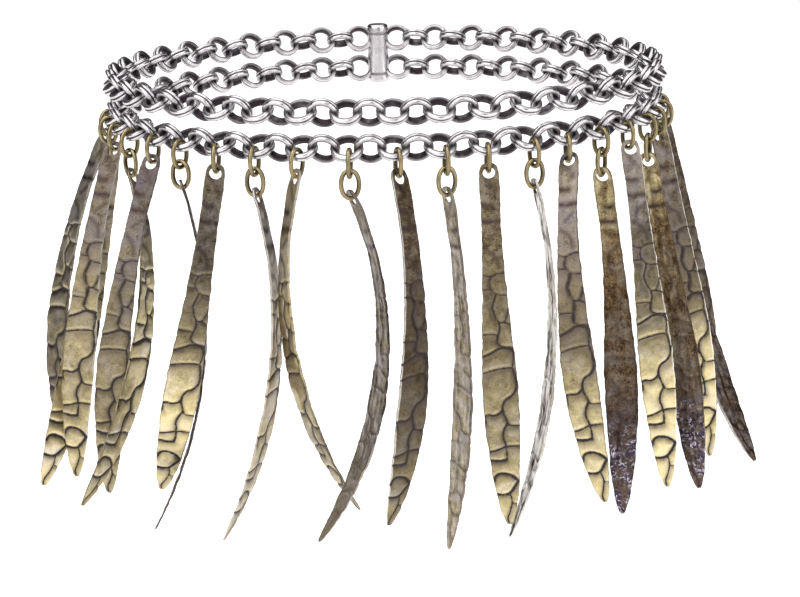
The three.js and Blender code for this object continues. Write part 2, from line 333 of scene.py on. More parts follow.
class AnkletStageSettings(bpy.types.PropertyGroup):
    floor: bpy.props.FloatVectorProperty(
        name="Floor", description="Colour of the floor",
        default=(0.90, 0.90, 0.90), min=0, max=1, subtype="COLOR",
    )
    floor_gap: bpy.props.FloatProperty(
        name="Floor gap", description="Height of the lowest tip over the floor",
        default=0.012, min=0, unit="LENGTH", subtype="DISTANCE",
    )
    glow: bpy.props.FloatProperty(
        name="Floor glow", description="How brightly the floor glows by itself, seen by the camera",
        default=0.70, min=0,
    )
    wall_top: bpy.props.FloatProperty(
        name="Wall top", description="Sine of the height at which the bright walls end",
        default=0.12, min=-1, max=1,
    )
    room: bpy.props.FloatProperty(
        name="Room light", description="How bright the walls and ceiling are, but for the camera",
        default=0.05, min=0,
    )
    lens: bpy.props.FloatProperty(
        name="Lens", description="Focal length of the camera in mm", default=106.0, min=20
    )
    camera_distance: bpy.props.FloatProperty(
        name="Camera distance", description="From the middle of the loop to the camera",
        default=0.3531, min=0.1, unit="LENGTH", subtype="DISTANCE",
    )
    camera_azimuth: bpy.props.FloatProperty(
        name="Camera azimuth", description="Camera's turn round the anklet from its front",
        default=math.radians(-1.39), unit="ROTATION", subtype="ANGLE",
    )
    camera_elevation: bpy.props.FloatProperty(
        name="Camera elevation", description="Camera's height over the middle of the loop",
        default=math.radians(8.24), unit="ROTATION", subtype="ANGLE",
    )
    camera_pan: bpy.props.FloatProperty(
        name="Camera pan", description="Turn of the camera away from the middle of the loop",
        default=math.radians(-0.366), unit="ROTATION", subtype="ANGLE",
    )
    camera_tilt: bpy.props.FloatProperty(
        name="Camera tilt", description="How far the camera looks below the middle of the loop",
        default=math.radians(5.127), unit="ROTATION", subtype="ANGLE",
    )
    camera_roll: bpy.props.FloatProperty(
        name="Camera roll", description="Turn of the camera about its own view",
        default=math.radians(-1.46), unit="ROTATION", subtype="ANGLE",
    )


# ---------------------------------------------------------------- modelling helpers


def start():
    """Object mode, with nothing selected."""
    if bpy.context.mode != "OBJECT":
        bpy.ops.object.mode_set(mode="OBJECT")
    bpy.ops.object.select_all(action="DESELECT")


def pick(obj):
    """Makes obj the only selected object, and the active one."""
    start()
    obj.select_set(True)
    bpy.context.view_layer.objects.active = obj


def edit(obj, part="VERT"):
    pick(obj)
    bpy.ops.object.mode_set(mode="EDIT")
    bpy.ops.mesh.select_mode(type=part)
    bpy.ops.mesh.select_all(action="DESELECT")


def choose(obj, part, wanted):
    """Selects the verts, edges or faces of obj, in edit mode, that wanted says yes to."""
    shape = bmesh.from_edit_mesh(obj.data)
    for item in getattr(shape, part):
        if wanted(item):
            item.select_set(True)
    shape.select_flush_mode()
    bmesh.update_edit_mesh(obj.data)


def apply_modifier(obj, kind, **settings):
    pick(obj)
    modifier = obj.modifiers.new(kind.title(), kind)
    for key, value in settings.items():
        setattr(modifier, key, value)
    bpy.ops.object.modifier_apply(modifier=modifier.name)


def bake_place(obj, matrix=None):
    """Moves obj to matrix and puts its place into the mesh, so it sits at the origin."""
    pick(obj)
    if matrix is not None:
        obj.matrix_world = matrix
    bpy.ops.object.transform_apply(location=True, rotation=True, scale=True)


def copy_of(master, name):
    """A copy of an object with its own mesh."""
    twin = master.copy()
    twin.data = master.data.copy()
    twin.name = twin.data.name = name
    bpy.context.collection.objects.link(twin)
    return twin


def tidy_mesh(obj):
    """Merges doubles, turns the normals outward and goes back to object mode."""
    bpy.ops.mesh.select_all(action="SELECT")
    bpy.ops.mesh.remove_doubles(threshold=0.000001)
    bpy.ops.mesh.normals_make_consistent(inside=False)
    bpy.ops.object.mode_set(mode="OBJECT")


def join(parts, name):
    pick(parts[0])
    for part in parts[1:]:
        part.select_set(True)
    bpy.ops.object.join()
    whole = bpy.context.object
    whole.name = whole.data.name = name
    return whole


def coordinates(mesh):
    values = np.empty(len(mesh.vertices) * 3)
    mesh.vertices.foreach_get("co", values)
    return values.reshape(-1, 3)


def write_attribute(mesh, name, values):
    found = mesh.attributes.get(name) or mesh.attributes.new(name, "FLOAT", "POINT")
    found.data.foreach_set("value", np.asarray(values, dtype=np.float32))


def finish_piece(obj, material, node, angle=40):
    pick(obj)
    bpy.ops.object.shade_smooth_by_angle(angle=math.radians(angle))
    obj.data.materials.clear()
    obj.data.materials.append(material)
    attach(obj, "root")
    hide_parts(node)


def discard(obj):
    mesh = obj.data
    bpy.data.objects.remove(obj)
    bpy.data.meshes.remove(mesh)


def out_at(angle):
    return Vector((math.sin(angle), -math.cos(angle), 0))


def along_at(angle):
    return Vector((math.cos(angle), math.sin(angle), 0))


def placed(x, y, z, at):
    """The matrix that sends a piece's own X, Y and Z to three directions at right angles."""
    rows = Matrix((x, y, z)).transposed().to_4x4()
    rows.translation = at
    return rows


def cad_points(node):
    """The distinct vertices of a CAD node, in the row frame."""
    return np.unique(coordinates(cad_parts[node].data).round(8), axis=0)


# ---------------------------------------------------------------- shader helpers


class Nodes:
    """Adds nodes to one node tree and wires them."""

    def __init__(self, tree):
        self.tree = tree

    def add(self, kind, inputs=None, **settings):
        node = self.tree.nodes.new(kind)
        for key, value in settings.items():
            setattr(node, key, value)
        for key, value in (inputs or {}).items():
            self.feed(node, key, value)
        return node

    def feed(self, node, key, value):
        socket = node.inputs[key]
        if isinstance(value, bpy.types.NodeSocket):
            self.tree.links.new(value, socket)
        elif socket.type == "RGBA" and len(value) == 3:
            socket.default_value = (*value, 1)
        else:
            socket.default_value = value

    def math(self, operation, a, b=0.5, c=0.5, clamp=False):
        node = self.add("ShaderNodeMath", operation=operation, use_clamp=clamp)
        for index, value in enumerate((a, b, c)):
            self.feed(node, index, value)
        return node.outputs[0]

    def ramp(self, value, low, high, out_low=0.0, out_high=1.0):
        """value carried smoothly from low..high to out_low..out_high."""
        node = self.add(
            "ShaderNodeMapRange",
            interpolation_type="SMOOTHSTEP",
            inputs={"Value": value, "From Min": low, "From Max": high,
                    "To Min": out_low, "To Max": out_high},
        )
        return node.outputs["Result"]

    def mix(self, factor, a, b, blend="MIX"):
        node = self.add("ShaderNodeMix", data_type="RGBA", blend_type=blend)
        self.feed(node, "Factor", factor)
        self.feed(node, 6, a)
        self.feed(node, 7, b)
        return node.outputs[2]

    def attribute(self, name):
        return self.add("ShaderNodeAttribute", attribute_name=name).outputs["Fac"]

    def noise(self, scale, detail=4.0, roughness=0.55, distortion=0.0):
        place = self.add("ShaderNodeTexCoord").outputs["Object"]
        node = self.add(
            "ShaderNodeTexNoise",
            inputs={"Vector": place, "Scale": scale, "Detail": detail,
                    "Roughness": roughness, "Distortion": distortion},
        )
        return node.outputs["Fac"]


def new_group(name, inputs, outputs):
    """A shader group with named sockets: (its tree's Nodes, its inputs, its output node)."""
    tree = bpy.data.node_groups.new(name, "ShaderNodeTree")
    for key, kind, default in inputs:
        socket = tree.interface.new_socket(key, in_out="INPUT", socket_type=kind)
        socket.default_value = (*default, 1) if kind == "NodeSocketColor" else default
    for key, kind in outputs:
        tree.interface.new_socket(key, in_out="OUTPUT", socket_type=kind)
    nodes = Nodes(tree)
    return nodes, nodes.add("NodeGroupInput").outputs, nodes.add("NodeGroupOutput")


def metal_group():
    """Metal, rubbed bright over dark tarnish and painted shade, mottled and finely scratched."""
    found = bpy.data.node_groups.get("Rubbed metal")
    if found:
        return found
    nodes, given, result = new_group(
        "Rubbed metal",
        (
            ("Bright", "NodeSocketColor", (0.6, 0.6, 0.6)),
            ("Dark", "NodeSocketColor", (0.05, 0.05, 0.05)),
            ("Patina", "NodeSocketFloat", 0.0),
            ("Mottle", "NodeSocketFloat", 0.3),
        ),
        (
            ("Color", "NodeSocketColor"),
            ("Roughness", "NodeSocketFloat"),
            ("Height", "NodeSocketFloat"),
        ),
    )
    broad = nodes.noise(420.0, 5.0, 0.6)
    fine = nodes.noise(5200.0, 3.0, 0.6)
    uneven = nodes.math("MULTIPLY", nodes.math("SUBTRACT", broad, 0.5), given["Mottle"])
    # Dark where the piece's attribute asks, for patina and for painted shade.
    mask = nodes.math("ADD", given["Patina"], nodes.math("MULTIPLY", uneven, 2.0), clamp=True)
    color = nodes.mix(mask, given["Bright"], given["Dark"])
    nodes.feed(result, "Color", color)
    grain = nodes.math("MULTIPLY", nodes.math("SUBTRACT", fine, 0.5), 0.16)
    rough = nodes.math("MULTIPLY_ADD", mask, 0.26, 0.25)
    nodes.feed(result, "Roughness", nodes.math("ADD", rough, grain, clamp=True))
    nodes.feed(result, "Height", nodes.math("MULTIPLY_ADD", broad, 0.5, fine))
    return nodes.tree


def new_material(name):
    material = bpy.data.materials.new(name)
    material.use_nodes = True
    nodes = Nodes(material.node_tree)
    return material, nodes, material.node_tree.nodes["Principled BSDF"]


def bumped(nodes, height, distance, strength):
    bump = nodes.add(
        "ShaderNodeBump",
        inputs={"Height": height, "Distance": distance, "Strength": strength},
    )
    return bump.outputs["Normal"]


def rubbed_material(name, bright, dark, mottle, metallic):
    """Metal darkened by tarnish and painted shade, as the piece's own darkening attribute says."""
    found = bpy.data.materials.get(name)
    if found:
        return found
    material, nodes, shader = new_material(name)
    group = nodes.add("ShaderNodeGroup", node_tree=metal_group())
    nodes.feed(group, "Bright", tuple(bright))
    nodes.feed(group, "Dark", tuple(dark))
    nodes.feed(group, "Mottle", mottle)
    nodes.feed(group, "Patina", nodes.attribute("recess"))
    nodes.feed(shader, "Base Color", group.outputs["Color"])
    nodes.feed(shader, "Roughness", group.outputs["Roughness"])
    nodes.feed(shader, "Normal", bumped(nodes, group.outputs["Height"], 0.00002, 0.35))
    shader.inputs["Metallic"].default_value = metallic
    return material


def silver_material():
    chain = bpy.context.scene.anklet_chain
    return rubbed_material("worn_silver", chain.polish, chain.patina, 0.55, 1.0)


def leaf_group():
    """The aged brass of a drop, with its painted shade, highlights and glints: colour, roughness,
    metallic and height from its attributes.
    """
    nodes, given, result = new_group(
        "Aged leaf brass",
        (
            ("Gold", "NodeSocketColor", (0.6, 0.5, 0.2)),
            ("Bronze", "NodeSocketColor", (0.1, 0.07, 0.04)),
            ("Taupe", "NodeSocketColor", (0.36, 0.32, 0.28)),
            ("Umber", "NodeSocketColor", (0.06, 0.05, 0.05)),
            ("Violet", "NodeSocketColor", (0.11, 0.09, 0.16)),
            ("Oxide", "NodeSocketColor", (0.03, 0.02, 0.02)),
            ("Stain", "NodeSocketColor", (0.08, 0.05, 0.05)),
            ("Tone", "NodeSocketFloat", 0.5),
            ("Grey", "NodeSocketFloat", 0.2),
            ("Film", "NodeSocketFloat", 0.2),
            ("Groove", "NodeSocketFloat", 0.0),
            ("Stained", "NodeSocketFloat", 0.0),
            ("Ridge", "NodeSocketFloat", 0.0),
            ("Upper", "NodeSocketFloat", 0.0),
            ("Streak", "NodeSocketFloat", 0.5),
            ("Warmth", "NodeSocketFloat", 0.0),
            ("Warm", "NodeSocketColor", (1.0, 0.82, 0.74)),
            ("Shine", "NodeSocketFloat", 0.0),
            ("Bare", "NodeSocketColor", (0.85, 0.82, 0.78)),
            ("Sheen", "NodeSocketColor", (0.62, 0.56, 0.66)),
        ),
        (
            ("Color", "NodeSocketColor"),
            ("Roughness", "NodeSocketFloat"),
            ("Metallic", "NodeSocketFloat"),
            ("Height", "NodeSocketFloat"),
        ),
    )
    cloud = nodes.noise(330.0, 6.0, 0.62, 0.8)
    blotch = nodes.noise(1000.0, 5.0, 0.6, 0.4)
    tint = nodes.noise(2100.0, 3.0, 0.6)
    speck = nodes.noise(5200.0, 3.0, 0.65)
    mottle = nodes.math("MULTIPLY", nodes.math("SUBTRACT", cloud, 0.5), 1.5)
    mottle = nodes.math("MULTIPLY_ADD", nodes.math("SUBTRACT", blotch, 0.5), 1.7, mottle)
    mottle = nodes.math("MULTIPLY_ADD", nodes.math("SUBTRACT", speck, 0.5), 1.6, mottle)
    mottle = nodes.math("MULTIPLY_ADD", nodes.math("SUBTRACT", given["Streak"], 0.5), 2.2, mottle)
    swing = nodes.math("MINIMUM", given["Tone"], 0.45)
    # Painted highlight on the cell edges and the lit cut edges, lifting the tone.
    rubbed = nodes.math("MULTIPLY", given["Ridge"], nodes.math("ADD", swing, 0.02))
    swing = nodes.math("MULTIPLY_ADD", given["Upper"], 0.15, nodes.math("ADD", swing, 0.06))
    tone = nodes.math("MULTIPLY_ADD", mottle, swing, given["Tone"])
    tone = nodes.math("MULTIPLY_ADD", rubbed, 0.60, tone, clamp=True)
    brass = nodes.mix(tone, given["Bronze"], given["Gold"])
    warmth = nodes.math("MULTIPLY", given["Warmth"], nodes.ramp(tone, 0.55, 0.15))
    brass = nodes.mix(warmth, brass, given["Warm"], "MULTIPLY")
    grey = nodes.math("MULTIPLY_ADD", nodes.math("SUBTRACT", tint, 0.5), 1.0, given["Grey"])
    grey = nodes.math("MULTIPLY_ADD", nodes.math("SUBTRACT", cloud, 0.5), 2.8, grey, clamp=True)
    greyed = nodes.mix(grey, brass, nodes.mix(tone, given["Umber"], given["Taupe"]))
    patches = nodes.ramp(nodes.math("ADD", cloud, blotch), 0.84, 1.12, 0.45, 1.1)
    film = nodes.math("MULTIPLY", given["Film"], patches, clamp=True)
    filmed = nodes.mix(film, greyed, given["Violet"])
    uneven = nodes.math("MULTIPLY_ADD", nodes.math("SUBTRACT", blotch, 0.5), 1.6, 0.86)
    uneven = nodes.math("MULTIPLY_ADD", nodes.math("SUBTRACT", speck, 0.5), 0.6, uneven)
    # Stains, dark cut edges, and the dirt and painted shade round the strokes.
    stain = nodes.math("MULTIPLY", given["Stained"], uneven, clamp=True)
    core = nodes.math("MULTIPLY_ADD", nodes.math("SUBTRACT", tint, 0.5), 1.3, given["Groove"])
    core = nodes.ramp(core, 0.34, 0.90)
    stainy = nodes.mix(stain, filmed, given["Stain"])
    # Painted sheen: crinkled glints on the violet film near the tips.
    crinkle = nodes.math("ABSOLUTE", nodes.math("SUBTRACT", blotch, 0.5))
    crinkle = nodes.math("MULTIPLY", nodes.ramp(crinkle, 0.046, 0.016), nodes.ramp(tint, 0.42, 0.54))
    crinkle = nodes.math("MULTIPLY", crinkle, nodes.ramp(cloud, 0.42, 0.56))
    sheen = nodes.math("MULTIPLY", nodes.ramp(given["Film"], 0.60, 0.85), crinkle)
    glossed = nodes.mix(sheen, stainy, given["Sheen"])
    # Painted glints and edge highlights: mixed towards a whitish colour.
    glint_amount = nodes.math("MINIMUM", given["Shine"], 0.9)
    glinted = nodes.mix(glint_amount, glossed, given["Bare"])
    nodes.feed(result, "Color", nodes.mix(core, glinted, given["Oxide"]))
    rough = nodes.math("MULTIPLY_ADD", core, 0.18, 0.40)
    rough = nodes.math("MULTIPLY_ADD", nodes.math("SUBTRACT", speck, 0.5), 0.24, rough)
    rough = nodes.math("MULTIPLY_ADD", film, -0.12, rough, clamp=True)
    nodes.feed(result, "Roughness", rough)
    nodes.feed(result, "Metallic", nodes.math("MULTIPLY_ADD", core, -0.55, 1.0))
    height = nodes.math("MULTIPLY_ADD", blotch, 2.2, speck)
    nodes.feed(result, "Height", nodes.math("MULTIPLY_ADD", given["Streak"], 2.0, height))
    return nodes.tree


def leaf_material():
    drops = bpy.context.scene.anklet_drops
    material, nodes, shader = new_material("worn_blade_brass")
    group = nodes.add("ShaderNodeGroup", node_tree=leaf_group())
    for key in ("gold", "bronze", "taupe", "umber", "violet"):
        nodes.feed(group, key.title(), tuple(getattr(drops, key)))
    nodes.feed(group, "Oxide", tuple(drops.groove))
    nodes.feed(group, "Stain", tuple(drops.stain))
    nodes.feed(group, "Tone", nodes.attribute("tone"))
    nodes.feed(group, "Grey", nodes.attribute("grey"))
    nodes.feed(group, "Film", nodes.attribute("film"))
    face = nodes.attribute("face")
    upper = nodes.ramp(nodes.attribute("down"), 0.34, 0.24)
    behind = nodes.ramp(face, 0.4, 0.0)
    nodes.feed(group, "Upper", nodes.math("MAXIMUM", upper, nodes.math("MULTIPLY", behind, 1.6)))
    nodes.feed(group, "Warmth", behind)
    pressed = nodes.ramp(nodes.attribute("reach"), 0.15, 1.35, 1.0, 0.0)
    front = nodes.math("MAXIMUM", face, 0.18)
    nodes.feed(group, "Groove", nodes.math("MULTIPLY", pressed, front, clamp=True))
    # Painted highlight on the left and right cut edges, as each drop asks; the rest of each edge is
    # stained dark.
    border = nodes.attribute("border")
    left = nodes.math("MULTIPLY", nodes.math("MULTIPLY", border, -1.0, clamp=True),
                      nodes.attribute("left_rim"))
    right = nodes.math("MULTIPLY", nodes.math("MULTIPLY", border, 1.0, clamp=True),
                       nodes.attribute("right_rim"))
    lit = nodes.math("ADD", left, right)
    dull = nodes.math("SUBTRACT", nodes.math("ABSOLUTE", border), nodes.math("ABSOLUTE", lit))
    # Painted highlights: the lit cut edges, and the bright edges of the cells.
    rubbed = nodes.math("MULTIPLY_ADD", lit, 2.5, nodes.attribute("rim"))
    nodes.feed(group, "Ridge", rubbed)
    dull = nodes.math("MULTIPLY", dull, 0.62, clamp=True)
    nodes.feed(group, "Stained", nodes.math("MAXIMUM", nodes.attribute("stain"), dull))
    place = nodes.add(
        "ShaderNodeCombineXYZ",
        inputs={"X": nodes.math("MULTIPLY", nodes.attribute("across"), 1300.0),
                "Y": nodes.math("MULTIPLY", nodes.attribute("along"), 260.0),
                "Z": nodes.math("MULTIPLY", nodes.attribute("drop"), 3.7)},
    )
    grain = nodes.add(
        "ShaderNodeTexNoise",
        inputs={"Vector": place.outputs["Vector"], "Scale": 1.0, "Detail": 3.0,
                "Roughness": 0.6, "Distortion": 0.5},
    )
    streak = nodes.math("SUBTRACT", grain.outputs["Fac"], 0.5)
    # How strongly the back is streaked; strong values also paint glints below.
    streak_and_glint_strength = nodes.math("MULTIPLY_ADD", face, -0.95, 1.0)
    streak_and_glint_strength = nodes.math("MULTIPLY", streak_and_glint_strength, nodes.attribute("streaks"))
    nodes.feed(group, "Streak", nodes.math("MULTIPLY_ADD", streak, streak_and_glint_strength, 0.5))
    # Painted glints on strongly streaked backs, as on drop 14, and painted highlights on the lit cut
    # edges.
    glint = nodes.ramp(grain.outputs["Fac"], 0.49, 0.58)
    glint_amount = nodes.math("MULTIPLY", glint, nodes.ramp(streak_and_glint_strength, 1.6, 2.6))
    nodes.feed(group, "Shine", nodes.math("MAXIMUM", glint_amount, nodes.math("MULTIPLY", lit, 0.8)))
    for key in ("Roughness", "Metallic"):
        nodes.feed(shader, key, group.outputs[key])
    nodes.feed(shader, "Base Color", group.outputs["Color"])
    nodes.feed(shader, "Normal", bumped(nodes, group.outputs["Height"], 0.00003, 0.45))
    return material


# ---------------------------------------------------------------- chain and clasp


# A link's wire in section: mm out from the inner face or in from the outer one, mm along the
# link's axis, and how dark the patina and painted shade lie there: the dark inner faces stand
# partly for shade. A worn groove runs round the outer face.
LINK_SECTION = (
    ("inner", 0.00, -0.47, 1.0),
    ("inner", 0.10, -0.58, 0.9),
    ("outer", 0.30, -0.595, 0.45),
    ("outer", 0.08, -0.48, 0.05),
    ("outer", 0.00, -0.28, 0.0),
    ("outer", 0.03, -0.12, 0.2),
    ("outer", 0.19, -0.045, 1.0),
    ("outer", 0.19, 0.045, 1.0),
    ("outer", 0.03, 0.12, 0.2),
    ("outer", 0.00, 0.28, 0.0),
    ("outer", 0.08, 0.48, 0.05),
    ("outer", 0.30, 0.595, 0.45),
    ("inner", 0.10, 0.58, 0.9),
    ("inner", 0.00, 0.47, 1.0),
)


def link_master(settings):
    """One link about its own Y: a grooved wire, flat inside, spun into a ring."""
    outer = settings.link_diameter / 2
    inner = settings.loop_length / settings.links_around / 2
    wide = settings.link_band / 2 / max(y for _, _, y, _ in LINK_SECTION)
    section = []
    for side, depth, y, dark in LINK_SECTION:
        x = inner + depth * MM if side == "inner" else outer - depth * MM
        section.append((x, y * wide, dark))
    start()
    bpy.ops.mesh.primitive_circle_add(vertices=len(section), radius=1)
    link = bpy.context.object
    begun = [vertex.co.copy() for vertex in link.data.vertices]
    edit(link)
    for place, (x, y, _) in zip(begun, section):
        bpy.ops.mesh.select_all(action="DESELECT")
        choose(link, "verts", lambda v: (v.co - place).length < 1e-4)
        bpy.ops.transform.translate(value=(x - place.x, y - place.y, 0))
    bpy.ops.mesh.select_all(action="SELECT")
    bpy.ops.mesh.spin(steps=30, angle=2 * math.pi, center=(0, 0, 0), axis=(0, 1, 0))
    tidy_mesh(link)
    points = coordinates(link.data)
    radius = np.hypot(points[:, 0], points[:, 2])
    corners = np.array(section)
    away = np.hypot(radius[:, None] - corners[:, 0], points[:, 1][:, None] - corners[:, 1])
    # Patina and painted shade: the inner faces and the worn groove are dark.
    recess = corners[away.argmin(axis=1), 2]
    # Painted shade where the neighbouring links pass, at both ends along the chain, away from the
    # outermost face.
    contact_shade = np.clip((np.abs(points[:, 0]) / radius - 0.84) * 4.0, 0, 0.6)
    recess = np.maximum(recess, contact_shade * np.clip((outer - radius) / (0.06 * MM), 0, 1))
    write_attribute(link.data, "recess", recess)
    return link


def link_matrix(index, height, settings, wobble):
    """Even links' axes rise outward by the lift, and odd ones' fall, at right angles to them."""
    turn = 2 * math.pi / settings.links_around
    angle = index * turn
    lift = settings.lift if index % 2 == 0 else settings.lift - math.pi / 2
    along = along_at(angle)
    across = out_at(angle) * math.cos(lift) + UP * math.sin(lift)
    across = Matrix.Rotation(wobble, 3, along) @ across
    at = out_at(angle) * (settings.loop_length / (2 * math.pi)) + UP * height
    return placed(along, across, along.cross(across), at)


def row_height(row):
    low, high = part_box(f"{row}_chain_2")
    return (low[2] + high[2]) / 2


def place_links(master, indices, height, settings, draw, name):
    links = []
    for index in indices:
        link = copy_of(master, name)
        bake_place(link, link_matrix(index, height, settings, math.radians(draw.uniform(-3, 3))))
        links.append(link)
    return links


class ANKLET_OT_chain(bpy.types.Operator):
    """Builds the two rows of round links"""

    bl_idname = "anklet.chain"
    bl_label = "Chain rows"
    bl_options = {"REGISTER", "UNDO"}

    def execute(self, context):
        settings = context.scene.anklet_chain
        master = link_master(settings)
        material = silver_material()
        draw = random.Random(4)
        for row in CHAIN_ROWS:
            first = -LAST_LINK
            for number, count in enumerate(LINKS_PER_LENGTH, 1):
                node = f"{row}_chain_{number}"
                indices = range(first, first + count)
                links = place_links(master, indices, row_height(row), settings, draw, node)
                chain = join(links, f"{node}_links")
                finish_piece(chain, material, node, 60)
                first += count
        discard(master)
        return {"FINISHED"}


class ANKLET_OT_clasp(bpy.types.Operator):
    """Builds the plain turned bar that both rows end on"""

    bl_idname = "anklet.clasp"
    bl_label = "Clasp"
    bl_options = {"REGISTER", "UNDO"}

    def execute(self, context):
        settings = context.scene.anklet_chain
        low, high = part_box("clasp")
        height = high[2] - low[2]
        back = settings.loop_length / (2 * math.pi)
        radius = high[1] - back
        start()
        bpy.ops.mesh.primitive_cylinder_add(
            vertices=48, radius=radius, depth=height, location=(0, back, (low[2] + high[2]) / 2)
        )
        bar = bpy.context.object
        bake_place(bar)
        edit(bar, "FACE")
        choose(bar, "faces", lambda f: abs(f.normal.z) > 0.9)
        bpy.ops.mesh.bevel(offset=radius * 0.32, segments=5, affect="EDGES")
        bpy.ops.mesh.select_all(action="DESELECT")
        cuts = (low[2] + 0.13 * height, low[2] + 0.18 * height, high[2] - 0.18 * height,
                high[2] - 0.13 * height)
        for cut in cuts:
            bpy.ops.mesh.select_all(action="SELECT")
            bpy.ops.mesh.bisect(plane_co=(0, back, cut), plane_no=(0, 0, 1))
        bpy.ops.mesh.select_all(action="DESELECT")
        middles = ((cuts[0] + cuts[1]) / 2, (cuts[2] + cuts[3]) / 2)
        near = (cuts[1] - cuts[0]) * 0.4
        choose(
            bar, "faces",
            lambda f: abs(f.normal.z) < 0.3
            and min(abs(f.calc_center_median().z - m) for m in middles) < near,
        )
        bpy.ops.mesh.inset(thickness=height * 0.012, depth=-radius * 0.10, use_even_offset=True)
        tidy_mesh(bar)
        write_attribute(bar.data, "recess", self.groove_patina(bar, middles, near))
        master = link_master(settings)
        draw = random.Random(9)
        ends = (-LAST_LINK - 1, LAST_LINK + 1)
        parts = [bar]
        for row in CHAIN_ROWS:
            parts += place_links(master, ends, row_height(row), settings, draw, "clasp_loop")
        discard(master)
        finish_piece(join(parts, "clasp_bar"), silver_material(), "clasp", 50)
        return {"FINISHED"}

    @staticmethod
    def groove_patina(bar, middles, near):
        heights = coordinates(bar.data)[:, 2]
        away = np.min([np.abs(heights - m) for m in middles], axis=0)
        return np.clip(1.2 - away / near, 0, 1)


# ---------------------------------------------------------------- jump rings


def ring_master(settings):
    """An oval of round wire about its own Z, tall along Y, cut on its left side."""
    start()
    bpy.ops.curve.primitive_bezier_circle_add(radius=settings.width / 2)
    ring = bpy.context.object
    ring.data.resolution_u = 12
    ring.data.bevel_depth = settings.wire / 2
    ring.data.bevel_resolution = 3
    bpy.ops.object.mode_set(mode="EDIT")
    bpy.ops.curve.select_all(action="SELECT")
    bpy.ops.transform.resize(value=(1, settings.height / settings.width, 1))
    bpy.ops.object.mode_set(mode="OBJECT")
    bpy.ops.object.convert(target="MESH")
    ring = bpy.context.object
    edit(ring, "FACE")
    cut = math.radians(192)
    half = settings.wire * 0.07
    spot = Vector((math.cos(cut) * settings.width, math.sin(cut) * settings.height, 0)) / 2
    way = Vector((math.sin(cut) * settings.width, -math.cos(cut) * settings.height, 0))
    way = way.normalized()
    for side in (-half, half):
        bpy.ops.mesh.select_all(action="SELECT")
        bpy.ops.mesh.bisect(plane_co=spot + way * side, plane_no=way)
    bpy.ops.mesh.select_all(action="DESELECT")
    choose(
        ring, "faces",
        lambda f: f.calc_center_median().x < 0
        and abs((f.calc_center_median() - spot).dot(way)) < half,
    )
    bpy.ops.mesh.delete(type="FACE")
    bpy.ops.mesh.select_mode(type="EDGE")
    bpy.ops.mesh.select_non_manifold()
    bpy.ops.mesh.fill_holes(sides=0)
    bpy.ops.mesh.select_mode(type="VERT")
    for side, spring in ((-1, 0.08 * MM), (1, -0.07 * MM)):
        bpy.ops.mesh.select_all(action="DESELECT")
        choose(
            ring, "verts",
            lambda v: v.co.x < 0 and 0 < side * (v.co - spot).dot(way) < settings.wire * 0.5,
        )
        bpy.ops.transform.translate(
            value=(0, 0, spring), use_proportional_edit=True,
            proportional_size=settings.wire * 2.2, use_proportional_connected=True,
        )
    tidy_mesh(ring)
    # Patina and painted shade: the inner side of the oval is painted darker, its top and bottom a
    # little lighter.
    points = coordinates(ring.data)
    low = np.abs(points[:, 1]) / (settings.height / 2)
    inward = np.hypot(points[:, 0] / settings.width, points[:, 1] / settings.height) * 2
    recess = 0.22 + np.clip((1.0 - inward) * 3.4, 0, 0.7) - np.clip((low - 0.70) * 0.5, 0, 0.15)
    write_attribute(ring.data, "recess", np.clip(recess, 0, 1))
    return ring


def ring_matrix(node, side):
    """Where a CAD ring is, with its cut turned to the asked side of the front."""
    points = cad_points(node)
    middle = points.mean(axis=0)
    axis = Vector(np.linalg.svd(points - middle)[2][2])
    axis.z = 0
    axis.normalize()
    across = UP.cross(axis)
    outward = Vector((middle[0], middle[1], 0)).normalized()
    right = Vector((-outward.y, outward.x, 0))
    if across.dot(right) * side > 0:
        across, axis = -across, -axis
    return placed(across, UP, axis, Vector(middle))


class ANKLET_OT_rings(bpy.types.Operator):
    """Builds the oval jump rings that the drops hang on"""

    bl_idname = "anklet.rings"
    bl_label = "Jump rings"
    bl_options = {"REGISTER", "UNDO"}

    def execute(self, context):
        settings = context.scene.anklet_rings
        master = ring_master(settings)
        material = rubbed_material("worn_ring_brass", settings.brass, settings.patina, 0.5, 1.0)
        for node in sorted(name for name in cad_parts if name.startswith("jump_ring")):
            number = int(node.split("_")[2])
            side = RING_CUT_SIDE.get(number, 1 if number % 4 < 2 else -1)
            ring = copy_of(master, f"{node}_wire")
            bake_place(ring, ring_matrix(node, side))
            finish_piece(ring, material, node, 50)
        discard(master)
        return {"FINISHED"}


# ---------------------------------------------------------------- leaf drops


def leaf_width(down):
    """Width of the leaf, in metres, at distances down from its top end."""
    along, width = np.array(LEAF_OUTLINE).T * MM
    return np.interp(down, along, width)


def segment_distance(points, a, b):
    """How far each 2-D point is from the segment a-b, and how much of that is downward."""
    way = b - a
    part = np.clip(((points - a) @ way) / (way @ way), 0, 1)
    apart = points - a - part[:, None] * way
    away = np.linalg.norm(apart, axis=1)
    return away, apart[:, 1] / np.maximum(away, 1e-9)


def line_distance(points, corners):
    """The same from a drawn line, whose corners are rounded off first."""
    line = [np.array([v * leaf_width(t * LEAF_LENGTH) / 2, t * LEAF_LENGTH]) for t, v in corners]
    inner = []
    for a, b in zip(line, line[1:]):
        inner += [0.75 * a + 0.25 * b, 0.25 * a + 0.75 * b]
    line = [line[0], *inner[1:-1], line[-1]]
    found = [segment_distance(points, a, b) for a, b in zip(line, line[1:])]
    away, below = (np.stack(values) for values in zip(*found))
    nearest = away.argmin(axis=0)
    columns = np.arange(len(points))
    return away[nearest, columns], below[nearest, columns]


